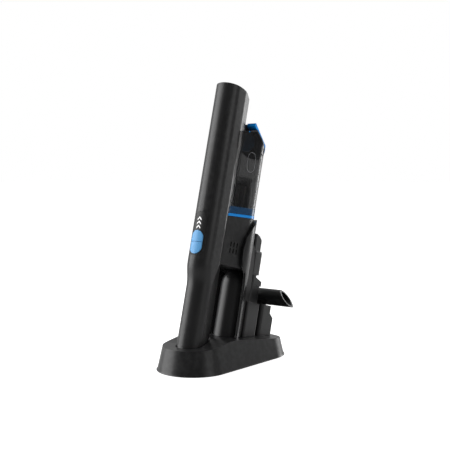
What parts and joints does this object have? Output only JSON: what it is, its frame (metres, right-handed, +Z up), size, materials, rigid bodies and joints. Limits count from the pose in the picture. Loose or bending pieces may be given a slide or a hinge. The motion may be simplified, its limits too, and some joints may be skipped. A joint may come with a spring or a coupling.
{
  "type": "handheld vacuum",
  "caption": "Slim cordless hand vacuum leaning in its charging stand, with clear dust bin, two push buttons, crevice tool with brush and upholstery nozzle",
  "frame": {"origin": "middle of the footprint on the floor, under the stand", "axes": "+X across the vacuum, -Y towards the switch side, +Y towards the tools, +Z up"},
  "size_m": [0.1321, 0.2464, 0.4258],
  "materials": {
    "black_casing": "satin black moulded plastic",
    "dark_trim": "fine-textured dark plastic",
    "gloss_black": "semi-gloss black plastic",
    "pale_blue_button": "satin pale blue plastic",
    "blue_trim": "bright blue plastic",
    "blue_clear": "tinted translucent blue plastic",
    "smoked_clear": "smoked transparent plastic",
    "white_light": "white translucent light window",
    "soft_rubber": "soft matte rubber",
    "lint_fabric": "short pile lint fabric",
    "bristle": "short dark nylon bristles",
    "steel": "brushed steel",
    "brass_contact": "polished contact metal",
    "board_green": "circuit board laminate",
    "cell_wrap": "shrink-wrapped cell",
    "filter_paper": "pleated filter paper"
  },
  "bodies": {
    "stand": {"base_shell": "gloss_black", "base_plate": "dark_trim", "foot_1": "soft_rubber", "foot_2": "soft_rubber", "foot_3": "soft_rubber", "foot_4": "soft_rubber", "foot_5": "soft_rubber", "base_screw_1": "steel", "base_screw_2": "steel", "base_screw_3": "steel", "base_screw_4": "steel", "power_inlet": "dark_trim", "column": "black_casing", "cradle_shell": "gloss_black", "back_wall": "black_casing", "crevice_pocket": "black_casing", "nozzle_pocket": "black_casing"},
    "vacuum": {"body_shell": "black_casing", "rear_grip": "dark_trim", "handle_end_cap": "dark_trim", "switch_panel": "dark_trim", "charge_light_1": "white_light", "charge_light_2": "white_light", "charge_light_3": "white_light", "circuit_board": "board_green", "power_switch": "dark_trim", "boost_switch": "dark_trim", "battery_cell_1": "cell_wrap", "battery_cell_2": "cell_wrap", "battery_cell_3": "cell_wrap", "battery_cell_4": "cell_wrap", "contact_left": "brass_contact", "contact_right": "brass_contact", "mouth_rim": "soft_rubber", "motor_housing": "black_casing", "motor": "steel", "fan_guard": "dark_trim", "seal_ring": "blue_trim", "filter_gasket": "soft_rubber"},
    "power_key": {"power_button": "pale_blue_button"},
    "boost_key": {"boost_button": "pale_blue_button"},
    "fan": {"impeller": "steel"},
    "bin": {"dust_bin": "smoked_clear", "bin_band": "blue_clear"},
    "lid": {"bin_lid": "dark_trim", "lid_hinge_pin": "blue_trim", "air_bowl": "blue_clear"},
    "latch": {"lid_latch": "blue_trim"},
    "flap": {"inlet_flap": "blue_clear"},
    "filter": {"filter_cup": "smoked_clear", "filter_element": "filter_paper"},
    "crevice": {"crevice_tool": "black_casing"},
    "brush": {"brush_sleeve": "black_casing", "brush_bristles": "bristle"},
    "nozzle": {"upholstery_nozzle": "black_casing", "lint_strip_upper": "lint_fabric", "lint_strip_lower": "lint_fabric"},
    "pin_left": {"charging_pin_left": "brass_contact"},
    "pin_right": {"charging_pin_right": "brass_contact"}
  },
  "joints": [
    {"name": "vacuum_lift", "type": "slide", "parent": "stand", "child": "vacuum", "axis": [0, 0.2529, 0.9675], "range_m": [0, 0.2]},
    {"name": "power_press", "type": "slide", "parent": "vacuum", "child": "power_key", "axis": [0, 0.9675, -0.2529], "range_m": [0, 0.0012], "stiffness_N_per_m": 400},
    {"name": "boost_press", "type": "slide", "parent": "vacuum", "child": "boost_key", "axis": [0, 0.9675, -0.2529], "range_m": [0, 0.0012], "stiffness_N_per_m": 400},
    {"name": "fan_spin", "type": "hinge", "parent": "vacuum", "child": "fan", "pos_m": [0, 0.02858, 0.19568], "axis": [0, 0.2529, 0.9675], "continuous": true},
    {"name": "bin_lift", "type": "slide", "parent": "vacuum", "child": "bin", "axis": [0, 0.2529, 0.9675], "range_m": [0, 0.13]},
    {"name": "lid_open", "type": "hinge", "parent": "bin", "child": "lid", "pos_m": [0, 0.03822, 0.35275], "axis": [1, 0, 0], "range_deg": [0, 40]},
    {"name": "latch_flip", "type": "hinge", "parent": "lid", "child": "latch", "pos_m": [0, 0.05302, 0.36191], "axis": [1, 0, 0], "range_deg": [0, 25], "stiffness_Nm_per_rad": 0.05},
    {"name": "flap_swing", "type": "hinge", "parent": "bin", "child": "flap", "pos_m": [0, 0.03537, 0.34264], "axis": [1, 0, 0], "range_deg": [0, 45], "stiffness_Nm_per_rad": 0.004},
    {"name": "filter_lift", "type": "slide", "parent": "vacuum", "child": "filter", "axis": [0, 0.2529, 0.9675], "range_m": [0, 0.03]},
    {"name": "crevice_lift", "type": "slide", "parent": "stand", "child": "crevice", "axis": [0, 0.2529, 0.9675], "range_m": [0, 0.12]},
    {"name": "brush_slide", "type": "slide", "parent": "crevice", "child": "brush", "axis": [0, 0.2529, 0.9675], "range_m": [0, 0.02]},
    {"name": "nozzle_lift", "type": "slide", "parent": "stand", "child": "nozzle", "axis": [0, 0.2529, 0.9675], "range_m": [0, 0.08]},
    {"name": "pin_left_press", "type": "slide", "parent": "stand", "child": "pin_left", "axis": [0, -0.2529, -0.9675], "range_m": [0, 0.001], "stiffness_N_per_m": 300},
    {"name": "pin_right_press", "type": "slide", "parent": "stand", "child": "pin_right", "axis": [0, -0.2529, -0.9675], "range_m": [0, 0.001], "stiffness_N_per_m": 300}
  ]
}
